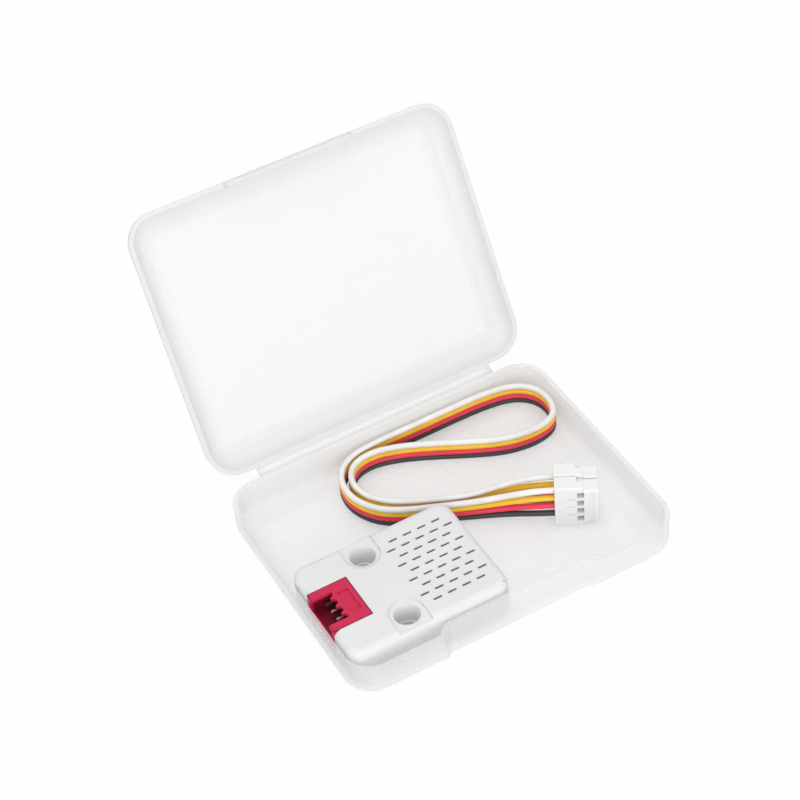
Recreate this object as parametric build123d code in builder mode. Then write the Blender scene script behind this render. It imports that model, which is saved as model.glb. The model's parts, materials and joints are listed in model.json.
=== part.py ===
from build123d import *
import math
import os

# A small environmental sensor unit in its hinged storage case, with its four-wire lead.
# Millimetres, +Z up. The origin is the centre of the case's underside, +X runs along the hinge
# and +Y towards it. The lid stands open at its rest angle.

# Case
case_length = 67.0
case_depth = 52.0
corner_radius = 6.0
base_height = 7.5
lid_height = 4.4
rim_gap = 0.1
base_draft = 0.15
lid_draft = 0.5
case_wall = 0.9
floor_thickness = 1.0
panel_thickness = 0.9
base_outer_edge_radius = 2.6
base_inner_edge_radius = 1.7
lid_outer_edge_radius = 3.2
lid_inner_edge_radius = 2.8

# Finger recess in the front wall, and the lid's latch tab that hangs in front of it
recess_width = 29.0
recess_depth = 1.9
recess_ramp = 2.0
recess_corner_radius = 1.2
recess_overlap = 0.1
tab_width = 26.0
tab_drop = 2.5
tab_thickness = 0.8
tab_setback = 0.1
tab_root = 0.6

# Living hinge
hinge_offset = 1.0
web_length = 50.6
web_half_span = 0.65
web_root_thickness = 0.4
web_middle_thickness = 0.3
open_angle = 120.8

# Sensor unit
unit_length = 32.0
unit_width = 24.0
unit_height = 8.0
unit_end_gap = 0.32
unit_front_gap = 0.6
unit_corner_radius = 2.5
unit_top_radius = 1.5
unit_bottom_radius = 1.4
shell_thickness = 1.2
split_height = 3.0
lap_height = 0.8
lap_thickness = 0.55
lap_clearance = 0.05

# Through holes of the unit, in shallow recesses that run out to its long sides
hole_radius = 2.4
hole_lower_radius = 2.1
hole_spacing = 16.0
hole_offset_x = -3.15
hole_tube_wall = 0.9
hole_recess_radius = 3.3
hole_recess_depth = 0.5

# Grille
slot_length = 1.75
slot_width = 0.45
slot_pitch = 2.92
row_pitch = 2.0
grille_centre_x = 7.47
short_row_slots = 4
long_row_slots = 5
grille_rows = 9

# Board
board_thickness = 1.2
board_gap = 0.2
board_corner_radius = 1.2
board_hole_clearance = 0.25
ledge_size = 2.4

# Socket and the lead's plugs, which fit it
contact_count = 4
contact_pitch = 2.0
socket_width = 10.0
socket_length = 7.8
socket_side_wall = 0.75
socket_floor = 0.8
socket_roof = 0.7
socket_back = 2.0
socket_clearance = 0.05
socket_window_width = 6.6
socket_window_length = 3.2
scallop_radius = 0.8
socket_dimple_width = 5.2
socket_dimple_length = 2.2
socket_dimple_depth = 0.3
pin_size = 0.5
pin_bevel = 0.12
pin_clearance = 0.02
pin_tip_setback = 2.6
pin_tail_setback = 0.9
pin_tail_length = 0.5
pin_hole_radius = 0.45

# Small parts on the board
humidity_size = 2.5
humidity_height = 0.9
humidity_port_radius = 0.6
pressure_size = 2.0
pressure_height = 0.75
pressure_vent_radius = 0.25
pressure_vent_offset = 0.5
port_depth = 0.25
sensor_x = 7.4
sensor_y = 3.4
isolation_gap = 0.9
isolation_slot = 0.8
regulator_length = 2.9
regulator_width = 1.6
regulator_height = 1.1
regulator_gap = 1.6
regulator_standoff = 0.18
regulator_bevel = 0.18
regulator_lead_length = 0.6
regulator_lead_width = 0.35
regulator_lead_pitch = 0.95
regulator_leads = 3
capacitor_length = 1.6
capacitor_width = 0.8
capacitor_pitch = 3.2
capacitor_gap = 1.6
capacitor_count = 3
resistor_length = 1.0
resistor_width = 0.5
resistor_height = 0.35
resistor_pitch = 2.0
resistor_gap = 2.0
resistor_count = 4

# Cover screws
screw_head_radius = 1.4
screw_head_height = 0.9
screw_radius = 0.8
screw_length = 5.0
screw_clearance = 0.1
thread_clearance = 0.02
screw_inset = 3.0
boss_wall = 0.8
drive_radius = 0.5
drive_sides = 6
drive_depth = 0.5

# Plugs
plug_width = 9.8
plug_thickness = 3.3
plug_body_length = 5.2
plug_nose_length = 2.8
nose_clearance = 0.15
plug_edge_radius = 0.3
plug_angle = -29.8
plug_a_corner = (16.74, -9.54)
plug_gap = 0.1
cavity_size = 1.3
cavity_mouth = 0.9
cavity_mouth_depth = 0.8
contact_size = 1.1
contact_gap = 0.2
crimp_radius = 0.56
crimp_length = 2.3
crimp_clearance = 0.06
window_centre = 4.7
window_length = 1.2
window_height = 1.3
tick_centre = 3.05
tick_length = 1.5
tick_width = 0.25
tick_depth = 0.15
nose_groove_setback = 1.2
nose_groove_width = 0.6
nose_groove_depth = 0.15
side_notch_length = 1.3
side_notch_depth = 0.8
side_notch_share = 1.4

# Lead: wires stacked on edge as a flat ribbon, fanned out to the plugs' pitch at both ends
wire_radius = 0.575
wire_pitch = 1.2
wire_floor_gap = 0.2
exit_run = 3.0
arc_share = 0.45

# The lead's route in plan between the short straight runs at plug A and plug B. X is a share of the
# room from the unit's end to the tray's right wall, Y a share of the room from the unit's rear side
# to the tray's rear wall, and the third value is how far the wires have risen from the ribbon's
# heights (0) to the plug's (1).
lead_route = [
    (0.348, -0.212, 0.55),
    (0.182, -0.068, 0.08),
    (-0.008, 0.064, 0.0),
    (-0.192, 0.178, 0.0),
    (-0.326, 0.318, 0.0),
    (-0.4, 0.543, 0.0),
    (-0.372, 0.789, 0.0),
    (-0.241, 0.933, 0.0),
    (-0.032, 0.952, 0.0),
    (0.189, 0.948, 0.0),
    (0.418, 0.95, 0.0),
    (0.642, 0.948, 0.0),
    (0.838, 0.908, 0.0),
    (0.951, 0.772, 0.0),
    (0.970, 0.573, 0.0),
    (0.912, 0.407, 0.0),
    (0.759, 0.361, 0.0),
    (0.575, 0.407, 0.0),
    (0.385, 0.543, 0.0),
    (0.195, 0.696, 0.0),
    (0.023, 0.815, 0.0),
    (-0.136, 0.874, 0.0),
    (-0.271, 0.827, 0.0),
    (-0.339, 0.67, 0.0),
    (-0.32, 0.475, 0.0),
    (-0.216, 0.305, 0.0),
    (-0.044, 0.17, 0.0),
    (0.158, 0.038, 0.0),
    (0.281, -0.013, 0.12),
    (0.409, -0.102, 0.55),
]

os.makedirs("parts", exist_ok=True)

# Places that several pieces share
half_depth = case_depth / 2
hinge_y = half_depth + hinge_offset
hinge_z = base_height
lid_plane = Plane(origin=(0, hinge_y, hinge_z)).rotated((-open_angle, 0, 0))
draft_at_floor = base_draft * (1 - floor_thickness / base_height)
inner_half_length = case_length / 2 - case_wall - draft_at_floor
inner_half_depth = half_depth - case_wall - draft_at_floor
recess_y = -half_depth + recess_depth
unit_x = -(inner_half_length - unit_end_gap - unit_length / 2)
unit_y = recess_y + case_wall + unit_front_gap + unit_width / 2
unit_right = unit_x + unit_length / 2
unit_rear = unit_y + unit_width / 2
hole_places = [(hole_offset_x, side * hole_spacing / 2) for side in (-1, 1)]
contact_span = (contact_count - 1) * contact_pitch
board_top = split_height
board_bottom = board_top - board_thickness
screw_places = [
    (unit_length / 2 - screw_inset, unit_width / 2 - screw_inset),
    (-unit_length / 2 + screw_inset, -unit_width / 2 + screw_inset),
]
boss_radius = screw_head_radius + screw_clearance + boss_wall
socket_x = -unit_length / 2 + socket_length / 2
socket_cavity_width = socket_width - 2 * socket_side_wall
socket_cavity_height = unit_height - board_top - socket_floor - socket_roof
socket_cavity_length = socket_length - socket_back
pin_height = board_top + socket_floor + socket_cavity_height / 2
nose_width = socket_cavity_width - 2 * nose_clearance
nose_thickness = socket_cavity_height - 2 * nose_clearance
plug_length = plug_body_length + plug_nose_length


def unit_plane(height):
    """A level plane at a height above the unit's underside, with its origin on the unit's centre."""
    return Plane(origin=(unit_x, unit_y, floor_thickness + height))


def finish(builder, name):
    """Labels a piece and writes it."""
    builder.part.label = name
    export_step(builder.part, f"parts/{name}.step")


def recess_points(half_width, face_y):
    """Corners of a shallow trapezoid, from beyond the front wall to face_y."""
    outside_y = -half_depth - 2 * case_wall
    reach = half_width + recess_ramp * (face_y - outside_y) / recess_depth
    return [(-reach, outside_y), (-half_width, face_y), (half_width, face_y), (reach, outside_y)]


# Case base
with BuildPart() as case_base:
    with BuildSketch(Plane.XY):
        RectangleRounded(
            case_length - 2 * base_draft,
            case_depth - 2 * base_draft,
            corner_radius - base_draft,
        )
    with BuildSketch(Plane.XY.offset(base_height)):
        RectangleRounded(case_length, case_depth, corner_radius)
    loft(ruled=True)
    fillet(case_base.faces().sort_by(Axis.Z)[0].edges(), base_outer_edge_radius)
    with BuildSketch(Plane.XY.offset(floor_thickness)):
        RectangleRounded(
            2 * inner_half_length, 2 * inner_half_depth, corner_radius - case_wall - draft_at_floor
        )
    with BuildSketch(Plane.XY.offset(base_height)):
        RectangleRounded(
            case_length - 2 * case_wall, case_depth - 2 * case_wall, corner_radius - case_wall
        )
    loft(ruled=True, mode=Mode.SUBTRACT)
    inner_floor = case_base.faces().filter_by(Plane.XY).sort_by(Axis.Z)[1]
    fillet(inner_floor.edges(), base_inner_edge_radius)
    with BuildSketch(Plane.XY.offset(floor_thickness)):
        backing = recess_points(recess_width / 2, recess_y + case_wall)
        with BuildLine():
            FilletPolyline(*backing, radius=recess_corner_radius)
            Line(backing[-1], backing[0])
        make_face()
        with Locations((0, -half_depth + case_wall - recess_overlap)):
            Rectangle(
                case_length, case_depth, align=(Align.CENTER, Align.MAX), mode=Mode.SUBTRACT
            )
    extrude(amount=base_height - floor_thickness)
    with BuildSketch(Plane.XY):
        recess = recess_points(recess_width / 2 - case_wall / 2, recess_y)
        with BuildLine():
            FilletPolyline(*recess, radius=recess_corner_radius)
            Line(recess[-1], recess[0])
        make_face()
    extrude(amount=base_height, mode=Mode.SUBTRACT)
    with Locations((0, half_depth - case_wall / 2, base_height)):
        Box(
            web_length,
            case_wall / 2 + hinge_offset - web_half_span,
            web_root_thickness,
            align=(Align.CENTER, Align.MIN, Align.MAX),
        )
finish(case_base, "case_base")

# Case lid, drawn on planes that turn with it about the hinge line
with BuildPart() as case_lid:
    with BuildSketch(lid_plane.offset(rim_gap)):
        with Locations((0, -hinge_y)):
            RectangleRounded(case_length, case_depth, corner_radius)
    with BuildSketch(lid_plane.offset(rim_gap + lid_height)):
        with Locations((0, -hinge_y)):
            RectangleRounded(
                case_length - 2 * lid_draft, case_depth - 2 * lid_draft, corner_radius - lid_draft
            )
    loft(ruled=True)
    lid_axis = Axis(lid_plane.origin, lid_plane.z_dir)
    fillet(case_lid.faces().sort_by(lid_axis)[-1].edges(), lid_outer_edge_radius)
    ceiling_draft = lid_draft * (1 - panel_thickness / lid_height)
    with BuildSketch(lid_plane.offset(rim_gap)):
        with Locations((0, -hinge_y)):
            RectangleRounded(
                case_length - 2 * case_wall, case_depth - 2 * case_wall, corner_radius - case_wall
            )
    with BuildSketch(lid_plane.offset(rim_gap + lid_height - panel_thickness)):
        with Locations((0, -hinge_y)):
            RectangleRounded(
                case_length - 2 * (case_wall + ceiling_draft),
                case_depth - 2 * (case_wall + ceiling_draft),
                corner_radius - case_wall - ceiling_draft,
            )
    loft(ruled=True, mode=Mode.SUBTRACT)
    ceiling = case_lid.faces().filter_by(lid_plane).sort_by(lid_axis)[1]
    fillet(ceiling.edges(), lid_inner_edge_radius)
    with BuildSketch(lid_plane.offset(rim_gap - tab_drop)):
        with Locations((0, -hinge_y - half_depth + tab_setback)):
            Rectangle(tab_width, tab_thickness, align=(Align.CENTER, Align.MIN))
    extrude(amount=tab_drop + tab_root)
    with BuildSketch(lid_plane.offset(rim_gap)):
        with Locations((0, -hinge_offset - case_wall / 2)):
            Rectangle(
                web_length,
                case_wall / 2 + hinge_offset - web_half_span,
                align=(Align.CENTER, Align.MIN),
            )
    extrude(amount=web_root_thickness)
finish(case_lid, "case_lid")

# Hinge web, bent from the base's lip to the lid's
base_upper = Vector(0, hinge_y - web_half_span, base_height)
base_lower = base_upper - Vector(0, 0, web_root_thickness)
lid_inner = lid_plane.from_local_coords(Vector(0, -web_half_span, rim_gap))
lid_outer = lid_plane.from_local_coords(Vector(0, -web_half_span, rim_gap + web_root_thickness))
bend = math.radians(90 - open_angle / 2)
bend_out = Vector(0, math.cos(bend), -math.sin(bend))
web_middle = Vector(0, hinge_y, hinge_z) + bend_out * (web_middle_thickness / 2)
with BuildPart() as hinge_web:
    with BuildSketch(Plane(origin=(-web_length / 2, 0, 0), x_dir=(0, 1, 0), z_dir=(1, 0, 0))):
        with BuildLine():
            outer_middle = web_middle + bend_out * (web_middle_thickness / 2)
            inner_middle = web_middle - bend_out * (web_middle_thickness / 2)
            Line((base_upper.Y, base_upper.Z), (base_lower.Y, base_lower.Z))
            ThreePointArc(
                (base_lower.Y, base_lower.Z), (outer_middle.Y, outer_middle.Z), (lid_outer.Y, lid_outer.Z)
            )
            Line((lid_outer.Y, lid_outer.Z), (lid_inner.Y, lid_inner.Z))
            ThreePointArc(
                (lid_inner.Y, lid_inner.Z), (inner_middle.Y, inner_middle.Z), (base_upper.Y, base_upper.Z)
            )
        make_face()
    extrude(amount=web_length)
finish(hinge_web, "hinge_web")


def hole_surrounds(radius, mode=Mode.ADD):
    """U shapes around the unit's holes, open to its long sides."""
    for x, y in hole_places:
        outward = math.copysign(unit_width / 2, y)
        with Locations((x, y)):
            Circle(radius, mode=mode)
        with Locations((x, (y + outward) / 2)):
            Rectangle(2 * radius, abs(outward - y), mode=mode)


def grille():
    """Staggered rows of slots, a short row and a long row in turn."""
    for row in range(grille_rows):
        count = short_row_slots if row % 2 == 0 else long_row_slots
        offset = (row - (grille_rows - 1) / 2) * row_pitch
        with Locations((grille_centre_x, offset)):
            with GridLocations(slot_pitch, row_pitch, count, 1):
                SlotOverall(slot_length, slot_width)


# Top cover
inner_length = unit_length - 2 * shell_thickness
inner_width = unit_width - 2 * shell_thickness
inner_corner_radius = unit_corner_radius - shell_thickness
roof_under = unit_height - shell_thickness
with BuildPart() as top_cover:
    with BuildSketch(unit_plane(split_height)):
        RectangleRounded(unit_length, unit_width, unit_corner_radius)
    extrude(amount=unit_height - split_height)
    fillet(top_cover.faces().sort_by(Axis.Z)[-1].edges(), unit_top_radius)
    with BuildSketch(unit_plane(split_height)):
        RectangleRounded(inner_length, inner_width, inner_corner_radius)
    extrude(amount=roof_under - split_height, mode=Mode.SUBTRACT)
    with BuildSketch(unit_plane(split_height)):
        with Locations(*hole_places):
            Circle(hole_radius + hole_tube_wall)
        with Locations(*screw_places):
            Circle(screw_radius + thread_clearance + boss_wall)
    extrude(amount=roof_under - split_height)
    with BuildSketch(unit_plane(unit_height)):
        hole_surrounds(hole_recess_radius)
    extrude(amount=-hole_recess_depth, mode=Mode.SUBTRACT)
    with BuildSketch(unit_plane(split_height)):
        with Locations(*hole_places):
            Circle(hole_radius)
    extrude(amount=unit_height - split_height, mode=Mode.SUBTRACT)
    with BuildSketch(unit_plane(split_height)):
        with Locations(*screw_places):
            Circle(screw_radius + thread_clearance)
    extrude(amount=screw_length - split_height + screw_head_height + screw_clearance, mode=Mode.SUBTRACT)
    with BuildSketch(unit_plane(roof_under)):
        grille()
    extrude(amount=shell_thickness, mode=Mode.SUBTRACT)
    with BuildSketch(unit_plane(split_height)):
        RectangleRounded(
            inner_length + 2 * (lap_thickness + lap_clearance),
            inner_width + 2 * (lap_thickness + lap_clearance),
            inner_corner_radius + lap_thickness + lap_clearance,
        )
        RectangleRounded(inner_length, inner_width, inner_corner_radius, mode=Mode.SUBTRACT)
        hole_surrounds(hole_radius + hole_tube_wall, Mode.SUBTRACT)
    extrude(amount=lap_height + lap_clearance, mode=Mode.SUBTRACT)
    with BuildSketch(unit_plane(split_height)):
        with Locations((-unit_length / 2, 0)):
            Rectangle(
                socket_length + socket_clearance,
                socket_width + 2 * socket_clearance,
                align=(Align.MIN, Align.CENTER),
            )
    extrude(amount=unit_height - split_height, mode=Mode.SUBTRACT)
finish(top_cover, "top_cover")

# Bottom cover
with BuildPart() as bottom_cover:
    with BuildSketch(unit_plane(0)):
        RectangleRounded(unit_length, unit_width, unit_corner_radius)
    extrude(amount=split_height)
    fillet(bottom_cover.faces().sort_by(Axis.Z)[0].edges(), unit_bottom_radius)
    with BuildSketch(unit_plane(shell_thickness)):
        RectangleRounded(inner_length, inner_width, inner_corner_radius)
    extrude(amount=split_height - shell_thickness, mode=Mode.SUBTRACT)
    with BuildSketch(unit_plane(split_height)):
        RectangleRounded(
            inner_length + 2 * lap_thickness,
            inner_width + 2 * lap_thickness,
            inner_corner_radius + lap_thickness,
        )
        RectangleRounded(inner_length, inner_width, inner_corner_radius, mode=Mode.SUBTRACT)
        hole_surrounds(hole_radius + hole_tube_wall + lap_clearance, Mode.SUBTRACT)
        with Locations(*screw_places):
            Circle(screw_radius + thread_clearance + boss_wall + lap_clearance, mode=Mode.SUBTRACT)
        with Locations((-unit_length / 2, 0)):
            Rectangle(2 * shell_thickness, socket_width + 2 * socket_clearance, mode=Mode.SUBTRACT)
    extrude(amount=lap_height)
    with BuildSketch(unit_plane(shell_thickness)):
        with Locations(*hole_places):
            Circle(hole_radius + hole_tube_wall)
        with Locations(*screw_places):
            Circle(boss_radius)
        RectangleRounded(inner_length, inner_width, inner_corner_radius, mode=Mode.INTERSECT)
    extrude(amount=split_height - shell_thickness)
    with BuildSketch(unit_plane(shell_thickness)):
        with Locations(
            (inner_length / 2 - ledge_size / 2, -inner_width / 2 + ledge_size / 2),
            (-inner_length / 2 + ledge_size / 2, inner_width / 2 - ledge_size / 2),
            (inner_length / 2 - ledge_size / 2, 0),
        ):
            Rectangle(ledge_size, ledge_size)
        RectangleRounded(inner_length, inner_width, inner_corner_radius, mode=Mode.INTERSECT)
    extrude(amount=board_bottom - shell_thickness)
    with BuildSketch(unit_plane(0)):
        with Locations(*hole_places):
            Circle(hole_lower_radius)
        with Locations(*screw_places):
            Circle(screw_radius + screw_clearance)
    extrude(amount=split_height, mode=Mode.SUBTRACT)
    with BuildSketch(unit_plane(0)):
        with Locations(*screw_places):
            Circle(screw_head_radius + screw_clearance)
    extrude(amount=screw_head_height + screw_clearance, mode=Mode.SUBTRACT)
finish(bottom_cover, "bottom_cover")

# Circuit board
board_length = inner_length - 2 * board_gap
board_width = inner_width - 2 * board_gap
pin_row_x = socket_x + socket_length / 2 - pin_tail_setback
with BuildPart() as circuit_board:
    with BuildSketch(unit_plane(board_bottom)):
        RectangleRounded(board_length, board_width, board_corner_radius)
        with Locations(*hole_places):
            Circle(hole_radius + hole_tube_wall + board_hole_clearance, mode=Mode.SUBTRACT)
        with Locations(*screw_places):
            Circle(boss_radius + board_hole_clearance, mode=Mode.SUBTRACT)
        with Locations((pin_row_x, 0)):
            with GridLocations(contact_pitch, contact_pitch, 1, contact_count):
                Circle(pin_hole_radius, mode=Mode.SUBTRACT)
        island = humidity_size + 2 * isolation_gap
        with Locations((sensor_x, sensor_y)):
            Rectangle(island + 2 * isolation_slot, island + 2 * isolation_slot, mode=Mode.SUBTRACT)
            Rectangle(island, island)
        with Locations((sensor_x + island / 2 + isolation_slot / 2, sensor_y)):
            Rectangle(isolation_slot, island)
    extrude(amount=board_thickness)
finish(circuit_board, "circuit_board")

# Red socket: a box with an open mouth at the unit's end and a scalloped window in its roof
mouth_x = -unit_length / 2
with BuildPart() as socket_housing:
    with BuildSketch(unit_plane(board_top)):
        with Locations((mouth_x, 0)):
            Rectangle(socket_length, socket_width, align=(Align.MIN, Align.CENTER))
    extrude(amount=unit_height - board_top)
    with BuildSketch(unit_plane(board_top + socket_floor)):
        with Locations((mouth_x, 0)):
            Rectangle(socket_cavity_length, socket_cavity_width, align=(Align.MIN, Align.CENTER))
    extrude(amount=socket_cavity_height, mode=Mode.SUBTRACT)
    with BuildSketch(unit_plane(unit_height - socket_roof)):
        with Locations((mouth_x, 0)):
            Rectangle(socket_window_length, socket_window_width, align=(Align.MIN, Align.CENTER))
        with Locations((mouth_x + socket_window_length, 0)):
            with GridLocations(contact_pitch, contact_pitch, 1, contact_count):
                Circle(scallop_radius)
        with Locations((mouth_x, 0)):
            Rectangle(
                socket_length, socket_window_width, align=(Align.MIN, Align.CENTER), mode=Mode.INTERSECT
            )
    extrude(amount=socket_roof, mode=Mode.SUBTRACT)
    with BuildSketch(unit_plane(unit_height)):
        with Locations((mouth_x + socket_length - socket_back / 2, 0)):
            Rectangle(socket_dimple_length, socket_dimple_width, align=(Align.MAX, Align.CENTER))
    extrude(amount=-socket_dimple_depth, mode=Mode.SUBTRACT)
    channel = pin_size + 2 * pin_clearance
    with BuildSketch(unit_plane(pin_height - channel / 2)):
        with Locations((pin_row_x + channel / 2, 0)):
            with GridLocations(contact_pitch, contact_pitch, 1, contact_count):
                Rectangle(socket_back, channel, align=(Align.MAX, Align.CENTER))
    extrude(amount=channel, mode=Mode.SUBTRACT)
    with BuildSketch(unit_plane(board_top)):
        with Locations((pin_row_x, 0)):
            with GridLocations(contact_pitch, contact_pitch, 1, contact_count):
                Rectangle(channel, channel)
    extrude(amount=pin_height - board_top, mode=Mode.SUBTRACT)
finish(socket_housing, "socket_housing")

# Socket pins, bent down through the board
pin_tip_x = mouth_x + pin_tip_setback
with BuildPart() as socket_pins:
    with BuildSketch(unit_plane(pin_height - pin_size / 2)):
        with Locations((pin_row_x + pin_size / 2, 0)):
            with GridLocations(contact_pitch, contact_pitch, 1, contact_count):
                Rectangle(
                    pin_row_x + pin_size / 2 - pin_tip_x, pin_size, align=(Align.MAX, Align.CENTER)
                )
    extrude(amount=pin_size)
    chamfer(socket_pins.faces().sort_by(Axis.X)[:contact_count].edges(), pin_bevel)
    with BuildSketch(unit_plane(board_bottom - pin_tail_length)):
        with Locations((pin_row_x, 0)):
            with GridLocations(contact_pitch, contact_pitch, 1, contact_count):
                Rectangle(pin_size, pin_size)
    extrude(amount=pin_height - board_bottom + pin_tail_length)
finish(socket_pins, "socket_pins")

# Sensor chips, under the grille
with BuildPart() as humidity_sensor:
    with BuildSketch(unit_plane(board_top)):
        with Locations((sensor_x, sensor_y)):
            Rectangle(humidity_size, humidity_size)
    extrude(amount=humidity_height)
    with BuildSketch(unit_plane(board_top + humidity_height)):
        with Locations((sensor_x, sensor_y)):
            Circle(humidity_port_radius)
    extrude(amount=-port_depth, mode=Mode.SUBTRACT)
finish(humidity_sensor, "humidity_sensor")

with BuildPart() as pressure_sensor:
    with BuildSketch(unit_plane(board_top)):
        with Locations((sensor_x, -sensor_y)):
            Rectangle(pressure_size, pressure_size)
    extrude(amount=pressure_height)
    with BuildSketch(unit_plane(board_top + pressure_height)):
        with Locations((sensor_x + pressure_vent_offset, -sensor_y + pressure_vent_offset)):
            Circle(pressure_vent_radius)
    extrude(amount=-port_depth, mode=Mode.SUBTRACT)
finish(pressure_sensor, "pressure_sensor")

# Regulator with three gull-wing leads on one side and its two outer ones on the other
regulator_x = sensor_x + humidity_size + regulator_gap
with BuildPart() as voltage_regulator:
    with BuildSketch(unit_plane(board_top + regulator_standoff)):
        with Locations((regulator_x, -sensor_y)):
            Rectangle(regulator_width, regulator_length)
    extrude(amount=regulator_height)
    chamfer(voltage_regulator.faces().sort_by(Axis.Z)[-1].edges(), regulator_bevel)
    with BuildSketch(unit_plane(board_top)):
        with Locations((regulator_x - regulator_width / 2, -sensor_y)):
            with GridLocations(regulator_lead_length, regulator_lead_pitch, 1, regulator_leads):
                Rectangle(regulator_lead_length, regulator_lead_width)
        with Locations((regulator_x + regulator_width / 2, -sensor_y)):
            with GridLocations(regulator_lead_length, 2 * regulator_lead_pitch, 1, regulator_leads - 1):
                Rectangle(regulator_lead_length, regulator_lead_width)
    extrude(amount=2 * regulator_standoff)
finish(voltage_regulator, "voltage_regulator")

# Capacitors in a row beside the sensors, resistors in a row behind the socket
with BuildPart() as capacitors:
    with BuildSketch(unit_plane(board_top)):
        with Locations((sensor_x - humidity_size - capacitor_gap, 0)):
            with GridLocations(capacitor_length, capacitor_pitch, 1, capacitor_count):
                Rectangle(capacitor_width, capacitor_length)
    extrude(amount=capacitor_width)
finish(capacitors, "capacitors")

with BuildPart() as resistors:
    with BuildSketch(unit_plane(board_top)):
        with Locations((mouth_x + socket_length + resistor_gap, 0)):
            with GridLocations(resistor_length, resistor_pitch, 1, resistor_count):
                Rectangle(resistor_length, resistor_width)
    extrude(amount=resistor_height)
finish(resistors, "resistors")

# Screws, heads sunk into the unit's underside
head_bottom = screw_clearance
with BuildPart() as cover_screws:
    with BuildSketch(unit_plane(head_bottom)):
        with Locations(*screw_places):
            Circle(screw_head_radius)
    extrude(amount=screw_head_height)
    with BuildSketch(unit_plane(head_bottom)):
        with Locations(*screw_places):
            Circle(screw_radius)
    extrude(amount=screw_length)
    with BuildSketch(unit_plane(head_bottom)):
        with Locations(*screw_places):
            RegularPolygon(drive_radius, drive_sides)
    extrude(amount=drive_depth, mode=Mode.SUBTRACT)
finish(cover_screws, "cover_screws")

# Plugs: both stand on edge on the tray's floor, one behind the other
axis_turn = math.radians(plug_angle)
plug_along = Vector(math.cos(axis_turn), math.sin(axis_turn), 0)
plug_across = Vector(-math.sin(axis_turn), math.cos(axis_turn), 0)
plug_mid_height = floor_thickness + plug_width / 2


def plug_plane(row):
    """The plane of a plug's wire end: x across its thickness, y up, z towards its mating end."""
    shift = plug_thickness / 2 + row * (plug_thickness + plug_gap)
    corner = Vector(plug_a_corner[0], plug_a_corner[1], plug_mid_height)
    return Plane(origin=corner + plug_across * shift, x_dir=plug_across, z_dir=plug_along)


def plug_housing(frame, name):
    """A plug's body and nose, with its cavities, windows, ticks, groove and side notch."""
    face_x = -plug_thickness / 2
    groove_z = plug_length - nose_groove_setback
    with BuildPart() as housing:
        with BuildSketch(frame):
            RectangleRounded(plug_thickness, plug_width, plug_edge_radius)
        extrude(amount=plug_body_length)
        with BuildSketch(frame.offset(plug_body_length)):
            RectangleRounded(nose_thickness, nose_width, plug_edge_radius)
        extrude(amount=plug_nose_length)
        with BuildSketch(frame):
            with GridLocations(contact_pitch, contact_pitch, 1, contact_count):
                Circle(crimp_radius + crimp_clearance)
        extrude(amount=crimp_length, mode=Mode.SUBTRACT)
        with BuildSketch(frame.offset(crimp_length)):
            with GridLocations(contact_pitch, contact_pitch, 1, contact_count):
                Rectangle(cavity_size, cavity_size)
        extrude(amount=plug_length - crimp_length - cavity_mouth_depth, mode=Mode.SUBTRACT)
        with BuildSketch(frame.offset(plug_length)):
            with GridLocations(contact_pitch, contact_pitch, 1, contact_count):
                Rectangle(cavity_mouth, cavity_mouth)
        extrude(amount=-cavity_mouth_depth, mode=Mode.SUBTRACT)
        with BuildSketch(frame.offset(window_centre - window_length / 2)):
            with Locations((face_x / 2, 0)):
                with GridLocations(contact_pitch, contact_pitch, 1, contact_count):
                    Rectangle(plug_thickness / 2, window_height)
        extrude(amount=window_length, mode=Mode.SUBTRACT)
        with BuildSketch(frame.offset(tick_centre - tick_length / 2)):
            with Locations((face_x, 0)):
                with GridLocations(contact_pitch, contact_pitch, 1, contact_count - 1):
                    Rectangle(2 * tick_depth, tick_width)
        extrude(amount=tick_length, mode=Mode.SUBTRACT)
        with BuildSketch(frame.offset(groove_z - nose_groove_width / 2)):
            with Locations((-nose_thickness / 2, 0)):
                Rectangle(2 * nose_groove_depth, contact_span + contact_size)
        extrude(amount=nose_groove_width, mode=Mode.SUBTRACT)
        with BuildSketch(frame.offset(window_centre - side_notch_length / 2)):
            with Locations((plug_thickness / 2, plug_width / 2)):
                Rectangle(2 * side_notch_share, 2 * side_notch_depth)
        extrude(amount=side_notch_length, mode=Mode.SUBTRACT)
    finish(housing, name)


def plug_contacts(frame, name):
    """The crimp contacts in a plug: a barrel round each wire's end, a box for the pin and a tang."""
    box_end = plug_length - cavity_mouth_depth - contact_gap
    with BuildPart() as contacts:
        with BuildSketch(frame):
            with GridLocations(contact_pitch, contact_pitch, 1, contact_count):
                Circle(crimp_radius)
        extrude(amount=crimp_length + contact_gap)
        with BuildSketch(frame.offset(crimp_length + contact_gap)):
            with GridLocations(contact_pitch, contact_pitch, 1, contact_count):
                Rectangle(contact_size, contact_size)
        extrude(amount=box_end - crimp_length - contact_gap)
        with BuildSketch(frame.offset(box_end)):
            with GridLocations(contact_pitch, contact_pitch, 1, contact_count):
                Rectangle(cavity_mouth - contact_gap, cavity_mouth - contact_gap)
        extrude(amount=window_centre - box_end, mode=Mode.SUBTRACT)
        with BuildSketch(frame.offset(window_centre - window_length / 2 + contact_gap)):
            with Locations((-contact_size / 2, 0)):
                with GridLocations(contact_pitch, contact_pitch, 1, contact_count):
                    Rectangle(2 * contact_gap, contact_size / 2)
        extrude(amount=window_length - 2 * contact_gap)
    finish(contacts, name)


plug_frames = {"a": plug_plane(0), "b": plug_plane(1)}
for letter, frame in plug_frames.items():
    plug_housing(frame, f"plug_housing_{letter}")
    plug_contacts(frame, f"plug_contacts_{letter}")


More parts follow.
